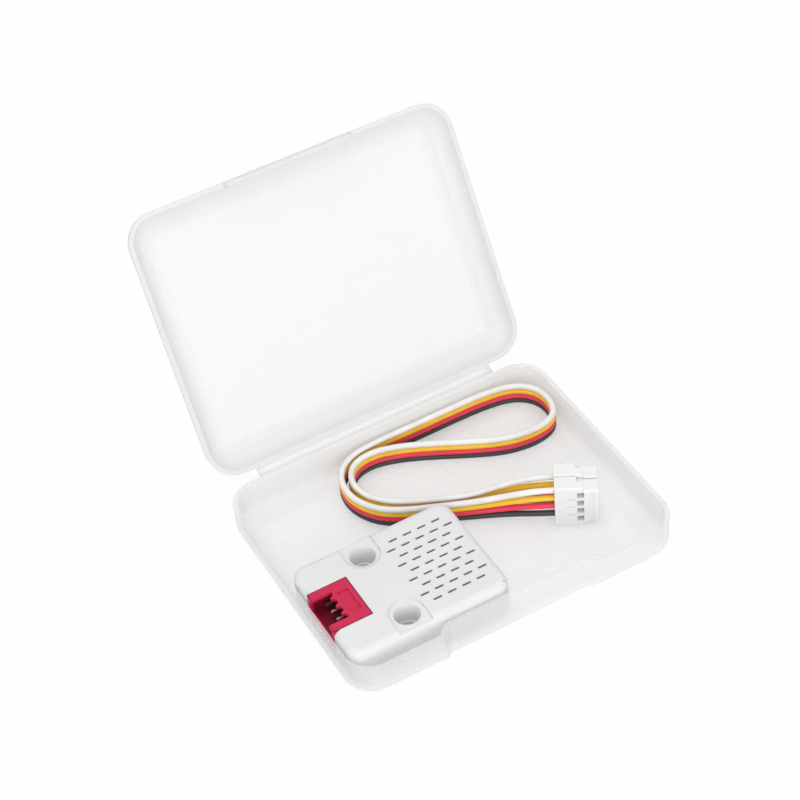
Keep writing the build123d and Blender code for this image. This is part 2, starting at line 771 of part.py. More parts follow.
def arc_radii(points):
    """The radius of each corner's arc: a share of the shorter run over the tangent of half the turn."""
    radii = []
    for before, corner, after in zip(points, points[1:], points[2:]):
        run_in = Vector(*corner) - Vector(*before)
        run_out = Vector(*after) - Vector(*corner)
        half_turn = math.radians(run_in.get_angle(run_out) / 2)
        radii.append(arc_share * min(run_in.length, run_out.length) / math.tan(half_turn))
    return radii


# Wires, the bottom one first. All four follow one route in plan and differ in height.
wire_names = ["wire_black", "wire_red", "wire_yellow", "wire_white"]
exit_a = plug_frames["a"].origin
exit_b = plug_frames["b"].origin
start_a = exit_a - plug_along * exit_run
start_b = exit_b - plug_along * exit_run
room_right = inner_half_length - unit_right
room_rear = inner_half_depth - unit_rear
tray_route = [(unit_right + x * room_right, unit_rear + y * room_rear, rise) for x, y, rise in lead_route]
full_route = [
    (exit_a.X, exit_a.Y, 1.0),
    (start_a.X, start_a.Y, 1.0),
    *tray_route,
    (start_b.X, start_b.Y, 1.0),
    (exit_b.X, exit_b.Y, 1.0),
]
for place, name in enumerate(wire_names):
    ribbon_height = floor_thickness + wire_floor_gap + wire_radius + place * wire_pitch
    plug_height = plug_mid_height + (place - (contact_count - 1) / 2) * contact_pitch
    route = [(x, y, ribbon_height + rise * (plug_height - ribbon_height)) for x, y, rise in full_route]
    radii = arc_radii(route)
    with BuildPart() as wire:
        with BuildLine() as path:
            FilletPolyline(*route, radius=radii)
        with BuildSketch(Plane(origin=path.line @ 0, z_dir=path.line % 0)):
            Circle(wire_radius)
        sweep()
    finish(wire, name)
    length = path.wires()[0].length
    tube_volume = math.pi * wire_radius**2 * length
    print(name, "length", round(length, 1), "smallest radius", round(min(radii), 2))
    print(name, "volume share", round(wire.part.volume / tube_volume, 4))
    print(name, "radii", [round(radius, 1) for radius in radii])
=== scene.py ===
"""The looks of a small environmental sensor unit that lies in its open hinged case with its lead.

Metres, in the row's frame: +Z up, +X along the hinge, +Y from the finger recess to the hinge.
"""

import json
import logging
import math
from collections.abc import Iterable
from dataclasses import dataclass, field
from enum import Enum

import bmesh
import bpy
from mathutils import Matrix, Vector


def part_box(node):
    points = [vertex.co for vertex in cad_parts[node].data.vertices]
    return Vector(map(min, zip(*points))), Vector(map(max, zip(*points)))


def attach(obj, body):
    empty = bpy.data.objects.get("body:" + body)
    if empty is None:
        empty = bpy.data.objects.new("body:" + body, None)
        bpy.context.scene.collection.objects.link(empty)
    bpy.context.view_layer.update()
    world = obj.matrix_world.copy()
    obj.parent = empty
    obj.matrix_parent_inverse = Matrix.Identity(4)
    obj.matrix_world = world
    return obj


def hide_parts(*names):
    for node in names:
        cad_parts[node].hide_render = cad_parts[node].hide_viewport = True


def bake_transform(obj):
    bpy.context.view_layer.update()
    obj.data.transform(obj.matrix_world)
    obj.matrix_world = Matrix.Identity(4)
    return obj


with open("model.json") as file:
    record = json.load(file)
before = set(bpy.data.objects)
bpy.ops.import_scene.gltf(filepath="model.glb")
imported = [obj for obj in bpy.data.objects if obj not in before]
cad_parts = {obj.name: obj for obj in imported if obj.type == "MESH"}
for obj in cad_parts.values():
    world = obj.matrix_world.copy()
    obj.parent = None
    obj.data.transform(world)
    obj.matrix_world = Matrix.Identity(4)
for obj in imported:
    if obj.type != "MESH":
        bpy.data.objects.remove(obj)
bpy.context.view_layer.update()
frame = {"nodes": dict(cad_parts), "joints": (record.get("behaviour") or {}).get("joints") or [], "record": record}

log = logging.getLogger("scene")

MM = 0.001
IMAGE_SIDE = 800
SENSOR_WIDTH = 36.0
BEVEL_SAMPLES = 6
# Where a Mix node has its factor, its two colours and its mixed colour
COLOUR_MIX = (0, 6, 7, 2)

Colour = tuple[float, float, float]
Point = tuple[float, float, float]
Span = tuple[float, float]

PURE_WHITE: Colour = (1.0, 1.0, 1.0)
# The range of a noise that its contrast is stretched from
TONE_SPAN: Span = (0.3, 0.7)

LID_HINGE: dict = next(joint for joint in frame["joints"] if joint["name"] == "lid_hinge")
CASE_LOW, CASE_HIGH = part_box("case_base")
# The lid's direction away from the hinge as it stands open, and its middle, which lies as far
# along it as the tray's middle, at Y 0, lies from the hinge
LID_SLOPE = math.pi + math.radians(LID_HINGE["range_deg"][0])
LID_ALONG: Point = (0.0, math.cos(LID_SLOPE), math.sin(LID_SLOPE))
LID_MIDDLE: Point = tuple(Vector(LID_HINGE["pos_m"]) + LID_HINGE["pos_m"][1] * Vector(LID_ALONG))


class Body(Enum):
    """The bodies of the assembly that new pieces ride on."""

    CASE = "case"
    LID = "lid"
    LEAD = "lead"


class Slot(Enum):
    """The record's material slots, listed beside each wire; nothing reads them."""

    CASE = "case_plastic"
    WIRE_WHITE = "wire_white"
    WIRE_YELLOW = "wire_yellow"
    WIRE_RED = "wire_red"
    WIRE_BLACK = "wire_black"


@dataclass(frozen=True)
class Signal:
    """A number that varies over a surface. Arithmetic on it adds Math nodes to its wiring."""

    wiring: "Wiring"
    socket: bpy.types.NodeSocket

    def apply(self, operation: str, *operands: "Signal | float") -> "Signal":
        """Runs one Math operation on this signal and up to two more operands.

        Args:
            operation: A Math node's operation, such as MAXIMUM.
            *operands: The node's other inputs, in order.

        Returns:
            The result as a signal.
        """
        inputs = dict(enumerate((self, *operands)))
        return self.wiring.node("ShaderNodeMath", {"operation": operation}, inputs)

    def __add__(self, other: "Signal | float") -> "Signal":
        """The sum."""
        return self.apply("ADD", other)

    __radd__ = __add__

    def __sub__(self, other: "Signal | float") -> "Signal":
        """The difference."""
        return self.apply("SUBTRACT", other)

    def __rsub__(self, other: float) -> "Signal":
        """A plain number less this signal."""
        return self.apply("MULTIPLY", -1.0) + other

    def __mul__(self, other: "Signal | float") -> "Signal":
        """The product."""
        return self.apply("MULTIPLY", other)

    __rmul__ = __mul__

    def __truediv__(self, other: "Signal | float") -> "Signal":
        """The quotient."""
        return self.apply("DIVIDE", other)

    def __abs__(self) -> "Signal":
        """The signal without its sign."""
        return self.apply("ABSOLUTE")

    def __gt__(self, other: "Signal | float") -> "Signal":
        """1 where the signal is greater, and 0 elsewhere."""
        return self.apply("GREATER_THAN", other)

    def step(self, low: float, high: float) -> "Signal":
        """Turns a range of the signal into 0 to 1, smoothly and clamped.

        Args:
            low: The value that becomes 0.
            high: The value that becomes 1.

        Returns:
            The mapped signal.
        """
        settings = {"interpolation_type": "SMOOTHSTEP"}
        inputs = {"Value": self, "From Min": low, "From Max": high}
        return self.wiring.node("ShaderNodeMapRange", settings, inputs)


class Wiring:
    """The nodes of a material or of the surroundings, up to its output."""

    def __init__(self, tree: bpy.types.NodeTree, output: str) -> None:
        """Clears a node tree and gives it its output.

        Args:
            tree: The tree of a material or a world.
            output: The output node's type.
        """
        self.tree = tree
        self.tree.nodes.clear()
        self.output = self.tree.nodes.new(output)

    def node(
        self,
        kind: str,
        settings: dict[str, object] | None = None,
        inputs: dict[str | int, object] | None = None,
        output: str | int = 0,
    ) -> Signal:
        """Adds a node of any type.

        Args:
            kind: The node's type.
            settings: The node's own settings, set first.
            inputs: A value or a signal for each input, by name or place.
            output: The output to return, by name or place.

        Returns:
            The chosen output as a signal.
        """
        made = self.tree.nodes.new(kind)
        for name, value in (settings or {}).items():
            setattr(made, name, value)
        for name, value in (inputs or {}).items():
            self._feed(made.inputs[name], value)
        return Signal(self, made.outputs[output])

    def _feed(self, socket: bpy.types.NodeSocket, value: object) -> None:
        """Links a signal to an input, or sets the input's own value."""
        if isinstance(value, Signal):
            self.tree.links.new(value.socket, socket)
        elif socket.type == "RGBA" and len(value) == 3:
            socket.default_value = (*value, 1.0)
        else:
            socket.default_value = value

    def end(self, result: Signal) -> None:
        """Links the finished look to the output."""
        self._feed(self.output.inputs["Surface"], result)

    def seen(self) -> Signal:
        """1 for the rays by which the background itself is seen, and 0 for those that light things."""
        names = ("Is Camera Ray", "Is Glossy Ray", "Is Transmission Ray")
        camera, glossy, clear = (self.node("ShaderNodeLightPath", output=name) for name in names)
        return camera.apply("MAXIMUM", glossy).apply("MAXIMUM", clear)


class Shader(Wiring):
    """A material being built around one Principled surface."""

    def __init__(self, name: str) -> None:
        """Makes the material with its surface and output.

        Args:
            name: The material's name.
        """
        self.material = bpy.data.materials.new(name)
        self.material.use_nodes = True
        super().__init__(self.material.node_tree, "ShaderNodeOutputMaterial")
        self.bare = self.node("ShaderNodeBsdfPrincipled", output="BSDF")
        self.surface = self.bare.socket.node
        self.end(self.bare)

    def set(self, **values: object) -> None:
        """Sets the surface's inputs, with an underscore for each space in a name."""
        for name, value in values.items():
            title = " ".join(word if word.isupper() else word.capitalize() for word in name.split("_"))
            self._feed(self.surface.inputs[title], value)

    def position(self) -> Signal:
        """The point of the surface at rest, in metres."""
        return self.node("ShaderNodeTexCoord", output="Object")

    def axis(self, name: str) -> Signal:
        """One coordinate of the surface's point, in metres."""
        return self.node("ShaderNodeSeparateXYZ", inputs={0: self.position()}, output=name)

    def reach(self, direction: Point, start: Point) -> Signal:
        """How far the surface's point lies from a start along a direction, in metres.

        Args:
            direction: A direction of length 1.
            start: Where the distance is 0.

        Returns:
            The distance as a signal.
        """
        offset = self.node(
            "ShaderNodeVectorMath", {"operation": "SUBTRACT"}, {0: self.position(), 1: start}
        )
        return self.node(
            "ShaderNodeVectorMath", {"operation": "DOT_PRODUCT"}, {0: offset, 1: direction}, "Value"
        )

    def noise(
        self, size: float, detail: float = 3.0, roughness: float = 0.5, stretch: Point = (1.0, 1.0, 1.0)
    ) -> Signal:
        """Soft noise around one half.

        Args:
            size: The size of its blotches, in metres.
            detail: How many finer layers it has.
            roughness: How strong those layers are.
            stretch: How much longer the blotches are along X, Y and Z.

        Returns:
            The noise as a signal.
        """
        scale = tuple(1.0 / length for length in stretch)
        place = self.node(
            "ShaderNodeVectorMath", {"operation": "MULTIPLY"}, {0: self.position(), 1: scale}
        )
        inputs = {"Vector": place, "Scale": 1.0 / size, "Detail": detail, "Roughness": roughness}
        return self.node("ShaderNodeTexNoise", inputs=inputs)

    def mix(self, factor: Signal, first: Signal | Colour, second: Signal | Colour) -> Signal:
        """A colour between two.

        Args:
            factor: 0 for the first colour and 1 for the second.
            first: The colour at 0.
            second: The colour at 1.

        Returns:
            The mixed colour as a signal.
        """
        factor_place, first_place, second_place, result_place = COLOUR_MIX
        inputs = {factor_place: factor, first_place: first, second_place: second}
        return self.node("ShaderNodeMix", {"data_type": "RGBA"}, inputs, output=result_place)

    def bump(self, height: Signal, depth: float, strength: float = 1.0, edge_radius: float = 0.0) -> None:
        """Feeds a height to the surface's normal.

        Args:
            height: The height, from 0 to 1.
            depth: What a height of 1 measures, in metres.
            strength: How much of it shows.
            edge_radius: How far sharp edges look rounded, in metres.
        """
        inputs = {"Height": height, "Distance": depth, "Strength": strength}
        if edge_radius > 0.0:
            settings = {"samples": BEVEL_SAMPLES}
            inputs["Normal"] = self.node("ShaderNodeBevel", settings, {"Radius": edge_radius})
        self.set(Normal=self.node("ShaderNodeBump", inputs=inputs))


def spread(signal: Signal, span: Span) -> Signal:
    """A signal from 0 to 1 turned into one from a span's start to its end."""
    return span[0] + (span[1] - span[0]) * signal


@dataclass(frozen=True)
class Finish:
    """What every finish has: a name and a base colour."""

    name: str
    colour: Colour

    def build(self) -> bpy.types.Material:
        """Makes the finish's material."""
        raise NotImplementedError

    def shade(self, amount: float) -> Colour:
        """The base colour made lighter or darker."""
        return tuple(min(1.0, max(0.0, part * amount)) for part in self.colour)

    def between(self, shader: Shader, factor: Signal, shades: Span) -> Signal:
        """The base colour between two shades of it.

        Args:
            shader: The material being built.
            factor: 0 for the first shade and 1 for the second.
            shades: The two shades.

        Returns:
            The colour as a signal.
        """
        return shader.mix(factor, self.shade(shades[0]), self.shade(shades[1]))


@dataclass(frozen=True)
class FrostedPlastic(Finish):
    """Frosted see-through polypropylene: clear in its flat panel, and hazier towards its walls.

    The panel lies along X and along a second direction, and its border is measured from its sides.
    """

    middle: Point = (0.0, 0.0, 0.0)
    along: Point = (0.0, 1.0, 0.0)
    half_length: float = CASE_HIGH.x
    half_depth: float = -CASE_LOW.y
    border: Span = (0.0028, 0.0062)
    panel_haze: float = 0.2
    wall_haze: float = 0.6
    wall_shade: float = 0.9
    tone_shades: Span = (0.985, 1.01)
    tone_haze: float = 0.03
    roughness: Span = (0.37, 0.47)
    sheen: float = 0.35
    cloud: float = 0.016
    cloud_share: float = 0.7
    streak: Point = (5.0, 1.0, 1.0)
    streaks_across: int = 4
    grain: float = 0.00012
    grain_share: float = 0.8
    grain_depth: float = 0.000008

    def build(self) -> bpy.types.Material:
        """Makes the finish's material."""
        shader = Shader(self.name)
        clouds = shader.noise(self.cloud, detail=2.0, roughness=0.45)
        streak_size = self.cloud / self.streaks_across
        streaks = shader.noise(streak_size, detail=3.0, stretch=self.streak)
        tone = (clouds * self.cloud_share + streaks * (1.0 - self.cloud_share)).step(*TONE_SPAN)
        texture = shader.noise(self.grain, detail=2.0)
        side = self.half_length - abs(shader.reach((1.0, 0.0, 0.0), self.middle))
        end = self.half_depth - abs(shader.reach(self.along, self.middle))
        wall = 1.0 - side.step(*self.border) * end.step(*self.border)
        clear = self.between(shader, tone, self.tone_shades)
        shader.set(
            base_color=shader.mix(wall, clear, self.shade(self.wall_shade)),
            roughness=spread(clouds, self.roughness),
            specular_IOR_level=self.sheen,
            alpha=spread(wall, (self.panel_haze, self.wall_haze)) + self.tone_haze * tone,
        )
        height = texture * self.grain_share + streaks * (1.0 - self.grain_share)
        shader.bump(height, self.grain_depth, strength=0.4)
        return shader.material


@dataclass(frozen=True)
class MouldedPlastic(Finish):
    """Opaque moulded plastic with a fine even grain and faint unevenness of tone."""

    roughness: float = 0.5
    roughness_spread: float = 0.06
    cloud: float = 0.006
    grain: float = 0.00018
    grain_depth: float = 0.00001
    unevenness: float = 0.03
    sheen: float = 0.4
    edge_radius: float = 0.00012

    def build(self) -> bpy.types.Material:
        """Makes the finish's material."""
        shader = Shader(self.name)
        tone = shader.noise(self.cloud, detail=3.0).step(*TONE_SPAN)
        texture = shader.noise(self.grain, detail=3.0, roughness=0.6)
        colour = self.between(shader, tone, (1.0 - self.unevenness, 1.0))
        rough = (self.roughness - self.roughness_spread, self.roughness + self.roughness_spread)
        shader.set(
            base_color=self.tint(shader, colour),
            roughness=spread(texture, rough),
            specular_IOR_level=self.sheen,
        )
        shader.bump(texture, self.grain_depth, strength=0.6, edge_radius=self.edge_radius)
        return shader.material

    def tint(self, shader: Shader, colour: Signal) -> Signal:
        """Changes the colour over the surface. A plain moulding leaves it as it is.

        Args:
            shader: The material being built.
            colour: The colour so far.

        Returns:
            The colour to use.
        """
        return colour


@dataclass(frozen=True)
class SeatedPlastic(MouldedPlastic):
    """Moulded plastic that stands in an opening, with painted shadow along the gap round its top and painted shade
    down in its own cavity.
    """

    # Painted shadow: a dark band along the top's sides stands in for the shadow in the gap round it
    gap_shadow_band: Span = (0.000096, 0.000192)
    gap_shadow_shade: float = 0.3
    gap_shadow_reach: float = 0.0004
    # Painted shade down in the cavity, darker away from the sides and deeper below the top
    cavity_wall: Span = (0.00055, 0.00075)
    cavity_depth: Span = (0.0003, 0.0016)
    cavity_painted_shade: float = 0.3
    seated: str = "socket_housing"

    def tint(self, shader: Shader, colour: Signal) -> Signal:
        """Paints shadow on the piece's top along its sides, and paints shade into its cavity.

        Args:
            shader: The material being built.
            colour: The colour so far.

        Returns:
            The colour to use.
        """
        low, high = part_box(self.seated)
        gaps = []
        for name, start, end in zip("XY", low, high):
            place = shader.axis(name)
            gaps += [place - start, end - place]
        nearest = gaps[0]
        for gap in gaps[1:]:
            nearest = nearest.apply("MINIMUM", gap)
        depth = high[2] - shader.axis("Z")
        # Painted shade: the cavity is darkened away from the sides and with depth below the top
        cavity = nearest.step(*self.cavity_wall) * depth.step(*self.cavity_depth)
        colour = shader.mix(cavity, colour, self.shade(self.cavity_painted_shade))
        # Painted shadow along the gap between the piece's top and the opening round it
        top = (self.gap_shadow_reach - depth).step(0.0, self.gap_shadow_reach / 2)
        painted_gap_shadow = (1.0 - nearest.step(*self.gap_shadow_band)) * top
        return shader.mix(painted_gap_shadow, colour, self.shade(self.gap_shadow_shade))


@dataclass(frozen=True)
class BoredPlastic(MouldedPlastic):
    """Moulded plastic with through holes, whose walls are painted paler: painted light for the light that comes in
    through the thin plastic.
    """

    bores: tuple[str, ...] = ("unit_hole_front", "unit_hole_rear")
    bore_edge: float = 0.00005
    bore_painted_light: float = 1.2

    def tint(self, shader: Shader, colour: Signal) -> Signal:
        """Paints light onto the walls of the through holes, making them paler.

        Args:
            shader: The material being built.
            colour: The colour so far.

        Returns:
            The colour to use.
        """
        for mount in frame["record"]["mounts"]:
            if mount["name"] in self.bores:
                radius = mount["dims"]["r_mm"] * MM
                away_x, away_y = (shader.axis(name) - start for name, start in zip("XY", mount["pos_m"]))
                distance = (away_x * away_x + away_y * away_y).apply("SQRT")
                # Painted light: the hole walls are painted paler than the rest of the plastic
                wall = 1.0 - distance.step(radius, radius + self.bore_edge)
                colour = shader.mix(wall, colour, self.shade(self.bore_painted_light))
        return colour


@dataclass(frozen=True)
class GrilledPlastic(BoredPlastic):
    """Moulded plastic whose grille slots carry painted shade, darker as they go down."""

    throat_painted_shade: float = 0.3
    throat_depth: Span = (0.00012, 0.00045)
    grille_margin: float = 0.001
    fade: float = 0.0001
    cover: str = "top_cover"

    def tint(self, shader: Shader, colour: Signal) -> Signal:
        """Paints shade into the throats of the grille's slots, all inside the cover's sides.

        Args:
            shader: The material being built.
            colour: The colour so far.

        Returns:
            The colour to use.
        """
        low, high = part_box(self.cover)
        middle_x = (low[0] + high[0]) / 2
        sides = ((shader.axis("X"), middle_x, high[0]), (shader.axis("Y"), low[1], high[1]))
        inside = 1.0
        for place, start, end in sides:
            inner = (place - (start + self.grille_margin)).step(-self.fade, self.fade)
            outer = ((end - self.grille_margin) - place).step(-self.fade, self.fade)
            inside = inner * outer * inside
        # Painted shade: the slots are darkened with depth below the top, where shade falls
        depth = (high[2] - shader.axis("Z")).step(*self.throat_depth)
        painted_throat_shade = shader.mix(depth * inside, colour, self.shade(self.throat_painted_shade))
        return super().tint(shader, painted_throat_shade)


@dataclass(frozen=True)
class Insulation(Finish):
    """Soft extruded insulation, with faint drawing lines and a satin surface."""

    roughness: Span = (0.37, 0.47)
    sheen: float = 0.45
    tone_span: Span = (0.35, 0.65)
    tone_shades: Span = (0.95, 1.03)
    cloud: float = 0.004
    ripple: float = 0.0006
    ripple_depth: float = 0.00003

    def build(self) -> bpy.types.Material:
        """Makes the finish's material."""
        shader = Shader(self.name)
        clouds = shader.noise(self.cloud, detail=2.0)
        ripple = shader.noise(self.ripple, detail=2.0)
        shader.set(
            base_color=self.between(shader, clouds.step(*self.tone_span), self.tone_shades),
            roughness=spread(ripple, self.roughness),
            specular_IOR_level=self.sheen,
        )
        shader.bump(ripple, self.ripple_depth, strength=0.4)
        return shader.material


@dataclass(frozen=True)
class PlatedMetal(Finish):
    """Dull plated metal with fine drawn streaks along one axis."""

    roughness: float = 0.32
    roughness_spread: float = 0.08
    streak: Point = (8.0, 1.0, 1.0)
    streak_width: float = 0.00012
    streak_depth: float = 0.000008
    blush: float = 0.0015
    blush_shades: Span = (0.88, 1.04)

    def build(self) -> bpy.types.Material:
        """Makes the finish's material."""
        shader = Shader(self.name)
        streaks = shader.noise(self.streak_width, detail=3.0, stretch=self.streak)
        blush = shader.noise(self.blush, detail=2.0)
        rough = (self.roughness - self.roughness_spread, self.roughness + self.roughness_spread)
        shader.set(
            base_color=self.between(shader, blush, self.blush_shades),
            metallic=1.0,
            roughness=spread(streaks, rough),
        )
        shader.bump(streaks, self.streak_depth, strength=0.5)
        return shader.material


@dataclass(frozen=True)
class BoardLaminate(Finish):
    """Solder mask over copper tracks, on a glass laminate whose edge shows its layers."""

    track_pitch: float = 0.0011
    track_edge: Span = (0.3, 0.36)
    track_depth: float = 0.00002
    track_shade: float = 1.7
    patch_tracks: int = 4
    roughness: float = 0.28
    side_roughness: float = 0.35
    weave_roughness: float = 0.08
    side_slope: Span = (0.4, 0.6)
    edge: Colour = (0.42, 0.38, 0.2)
    weave: float = 0.0001
    weave_stretch: Point = (6.0, 6.0, 1.0)

    def build(self) -> bpy.types.Material:
        """Makes the finish's material."""
        shader = Shader(self.name)
        lane_x = abs((shader.axis("X") / self.track_pitch).apply("FRACT") - 0.5)
        lane_y = abs((shader.axis("Y") / self.track_pitch).apply("FRACT") - 0.5)
        patch = shader.noise(self.track_pitch * self.patch_tracks, detail=0.0)
        across = (patch > 0.5) * lane_x.step(*self.track_edge)
        tracks = across + (0.5 - patch > 0.0) * lane_y.step(*self.track_edge)
        normal = shader.node("ShaderNodeNewGeometry", output="Normal")
        upward = shader.node("ShaderNodeSeparateXYZ", inputs={0: normal}, output="Z")
        side = 1.0 - abs(upward).step(*self.side_slope)
        face = self.between(shader, tracks, (1.0, self.track_shade))
        weave = shader.noise(self.weave, detail=2.0, stretch=self.weave_stretch)
        shader.set(
            base_color=shader.mix(side, face, self.edge),
            roughness=self.roughness + self.side_roughness * side + self.weave_roughness * weave,
        )
        shader.bump(tracks, self.track_depth, strength=0.7)
        return shader.material


@dataclass(frozen=True)
class ChipBody(Finish):
    """A small part with a body of one colour and tinned ends at an even pitch along one axis."""

    along: str = "Y"
    first: float = 0.0
    pitch: float = 1.0
    half_body: float = 1.0
    tin: Colour = (0.74, 0.73, 0.71)
    tin_edge: float = 1.02
    tin_roughness: float = -0.2
    roughness: float = 0.5
    speckle_roughness: float = 0.1
    speckle: float = 0.00008
    speckle_shades: Span = (0.85, 1.15)
    speckle_depth: float = 0.00001

    def build(self) -> bpy.types.Material:
        """Makes the finish's material."""
        shader = Shader(self.name)
        turns = (shader.axis(self.along) - self.first) / self.pitch + 0.5
        offset = abs(turns.apply("FRACT") - 0.5) * self.pitch
        ends = offset.step(self.half_body, self.half_body * self.tin_edge)
        speckle = shader.noise(self.speckle, detail=2.0)
        body = self.between(shader, speckle, self.speckle_shades)
        shader.set(
            base_color=shader.mix(ends, body, self.tin),
            metallic=ends,
            roughness=self.roughness + self.speckle_roughness * speckle + self.tin_roughness * ends,
        )
        shader.bump(speckle, self.speckle_depth, strength=0.6)
        return shader.material


class Finishes(Enum):
    """Every finish of the object."""

    TRAY = FrostedPlastic(
        "case_frosted", (0.85, 0.85, 0.85), panel_haze=0.26, wall_haze=0.37, wall_shade=0.99
    )
    LID = FrostedPlastic(
        "case_frosted_lid",
        (0.79, 0.79, 0.79),
        middle=LID_MIDDLE,
        along=LID_ALONG,
        panel_haze=0.23,
        wall_haze=0.48,
        wall_shade=0.98,
    )
    UNIT = BoredPlastic("unit_white", (0.80, 0.80, 0.80), roughness=0.55)
    UNIT_TOP = GrilledPlastic(
        "unit_white_grille", (0.76, 0.76, 0.76), roughness=0.55, edge_radius=0.0003
    )
    SOCKET = SeatedPlastic(
        "socket_crimson",
        (0.60, 0.02, 0.078),
        roughness=0.42,
        grain=0.0003,
        grain_depth=0.000006,
        sheen=0.2,
    )
    PLUG = MouldedPlastic("plug_nylon", (0.85, 0.85, 0.84), roughness=0.4, grain=0.0003)
    CHIP = MouldedPlastic("chip_black", (0.02, 0.02, 0.022), roughness=0.6, grain=0.00008)
    CAPACITOR = ChipBody(
        "capacitor_tan", (0.33, 0.2, 0.1), along="Y", first=-0.0106, pitch=0.0032, half_body=0.0005
    )
    RESISTOR = ChipBody(
        "resistor_black", (0.02, 0.02, 0.025), along="X", first=-0.02235, pitch=0.004, half_body=0.0003
    )
    BOARD = BoardLaminate("board_green", (0.012, 0.11, 0.045))
    PIN = PlatedMetal("pin_tin", (0.62, 0.60, 0.57))
    # Painted shade: a darker copy of the pin metal, for the pins down in the socket's shade
    SOCKET_PIN = PlatedMetal("pin_tin_dull", (0.42, 0.37, 0.37), roughness=0.36)
    SENSOR_LID = PlatedMetal("sensor_lid", (0.70, 0.70, 0.70), roughness=0.4, streak=(1.0, 6.0, 1.0))
    SCREW = PlatedMetal("screw_zinc", (0.62, 0.63, 0.66), roughness=0.36, streak=(3.0, 3.0, 1.0))
    WHITE = Insulation("insulation_white", (0.84, 0.83, 0.81))
    YELLOW = Insulation("insulation_yellow", (0.96, 0.58, 0.03))
    RED = Insulation("insulation_red", (0.88, 0.045, 0.10))
    BLACK = Insulation("insulation_black", (0.055, 0.05, 0.055), roughness=(0.43, 0.53))

    def material(self) -> bpy.types.Material:
        """The finish's material, made once."""
        return bpy.data.materials.get(self.value.name) or self.value.build()


def dress(node: str, finish: Finishes) -> None:
    """Gives a CAD node its finish.

    Args:
        node: The node's name.
        finish: What it is finished with.
    """
    for place in frame["nodes"][node].material_slots:
        place.material = finish.material()
    log.info("%s is dressed in %s", node, finish.value.name)


def mesh_piece(
    name: str, vertices: Iterable[Vector], faces: Iterable[tuple[int, ...]], finish: Finishes
) -> bpy.types.Object:
    """Makes a new piece from its points and faces, with its normals turned outward.

    Args:
        name: The piece's name.
        vertices: Its points, in metres.
        faces: Its faces, each a tuple of places in vertices.
        finish: What it is finished with.

    Returns:
        The piece.
    """
    mesh = bpy.data.meshes.new(name)
    mesh.from_pydata([tuple(v) for v in vertices], [], list(faces))
    shape = bmesh.new()
    shape.from_mesh(mesh)
    bmesh.ops.recalc_face_normals(shape, faces=shape.faces)
    for face in shape.faces:
        face.smooth = True
    shape.to_mesh(mesh)
    shape.free()
    piece = bpy.data.objects.new(name, mesh)
    bpy.context.scene.collection.objects.link(piece)
    mesh.materials.append(finish.material())
    log.info("%s has %d faces", name, len(mesh.polygons))
    return piece


@dataclass
class Case:
    """The frosted tray and lid, and the thin web between them."""

    web_length: float = 50.6 * MM
    web_half_span: float = 0.65 * MM
    root_thickness: float = 0.4 * MM
    middle_thickness: float = 0.3 * MM
    rim_gap: float = 0.1 * MM
    bend_steps: int = 16
    length_steps: int = 24

    def build(self) -> None:
        """Dresses the tray and lid, and makes the web."""
        dress("case_base", Finishes.TRAY)
        dress("case_lid", Finishes.LID)
        self.web()

    def turned(self, along: float, up: float) -> Vector:
        """A point of the lid's own drawing, turned open about the hinge line.

        Args:
            along: Its place along +Y from the hinge line when the case is closed.
            up: Its height above the hinge line when the case is closed.

        Returns:
            The point in the row's frame, at X 0.
        """
        turn = Matrix.Rotation(math.radians(LID_HINGE["range_deg"][0]), 3, "X")
        return Vector(LID_HINGE["pos_m"]) + turn @ Vector((0.0, along, up))

    def web(self) -> None:
        """Makes the web, thinned along its middle and curved between the open tray and lid."""
        axis = Vector(LID_HINGE["pos_m"])
        tray_top = axis - Vector((0.0, self.web_half_span, 0.0))
        tray_under = tray_top - Vector((0.0, 0.0, self.root_thickness))
        lid_inner = self.turned(-self.web_half_span, self.rim_gap)
        lid_outer = self.turned(-self.web_half_span, self.rim_gap + self.root_thickness)
        bend = ((tray_under + lid_outer) / 2 - axis).normalized()
        inner = self.arc(tray_top, axis, lid_inner)
        outer = self.arc(tray_under, axis + bend * self.middle_thickness, lid_outer)
        ring = inner + outer[::-1]
        vertices, faces = [], []
        for step in range(self.length_steps + 1):
            x = (step / self.length_steps - 0.5) * self.web_length
            vertices += [point + Vector((x, 0.0, 0.0)) for point in ring]
        count = len(ring)
        for step in range(self.length_steps):
            for place in range(count):
                after = (place + 1) % count
                faces.append(
                    (
                        step * count + place,
                        step * count + after,
                        (step + 1) * count + after,
                        (step + 1) * count + place,
                    )
                )
        faces.append(tuple(range(count)))
        faces.append(tuple(range(len(vertices) - count, len(vertices))))
        piece = mesh_piece("web_skin", vertices, faces, Finishes.TRAY)
        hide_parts("hinge_web")
        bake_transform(piece)

    def arc(self, start: Vector, middle: Vector, end: Vector) -> list[Vector]:
        """Points of a smooth curve that starts, passes and ends at three points.

        Args:
            start: The first point.
            middle: The point that the curve passes half way.
            end: The last point.

        Returns:
            The points, both ends among them.
        """
        pull = 2 * middle - (start + end) / 2
        points = []
        for step in range(self.bend_steps + 1):
            t = step / self.bend_steps
            points.append(start * (1 - t) ** 2 + pull * (2 * t * (1 - t)) + end * t**2)
        return points


@dataclass
class SensorUnit:
    """The white unit with its red socket, and what is inside it."""

    finishes: dict[str, Finishes] = field(
        default_factory=lambda: {
            "top_cover": Finishes.UNIT_TOP,
            "bottom_cover": Finishes.UNIT,
            "circuit_board": Finishes.BOARD,
            "socket_housing": Finishes.SOCKET,
            "socket_pins": Finishes.SOCKET_PIN,
            "humidity_sensor": Finishes.CHIP,
            "pressure_sensor": Finishes.SENSOR_LID,
            "voltage_regulator": Finishes.CHIP,
            "capacitors": Finishes.CAPACITOR,
            "resistors": Finishes.RESISTOR,
            "cover_screws": Finishes.SCREW,
        }
    )

    def build(self) -> None:
        """Dresses the unit's nodes."""
        for node, finish in self.finishes.items():
            dress(node, finish)


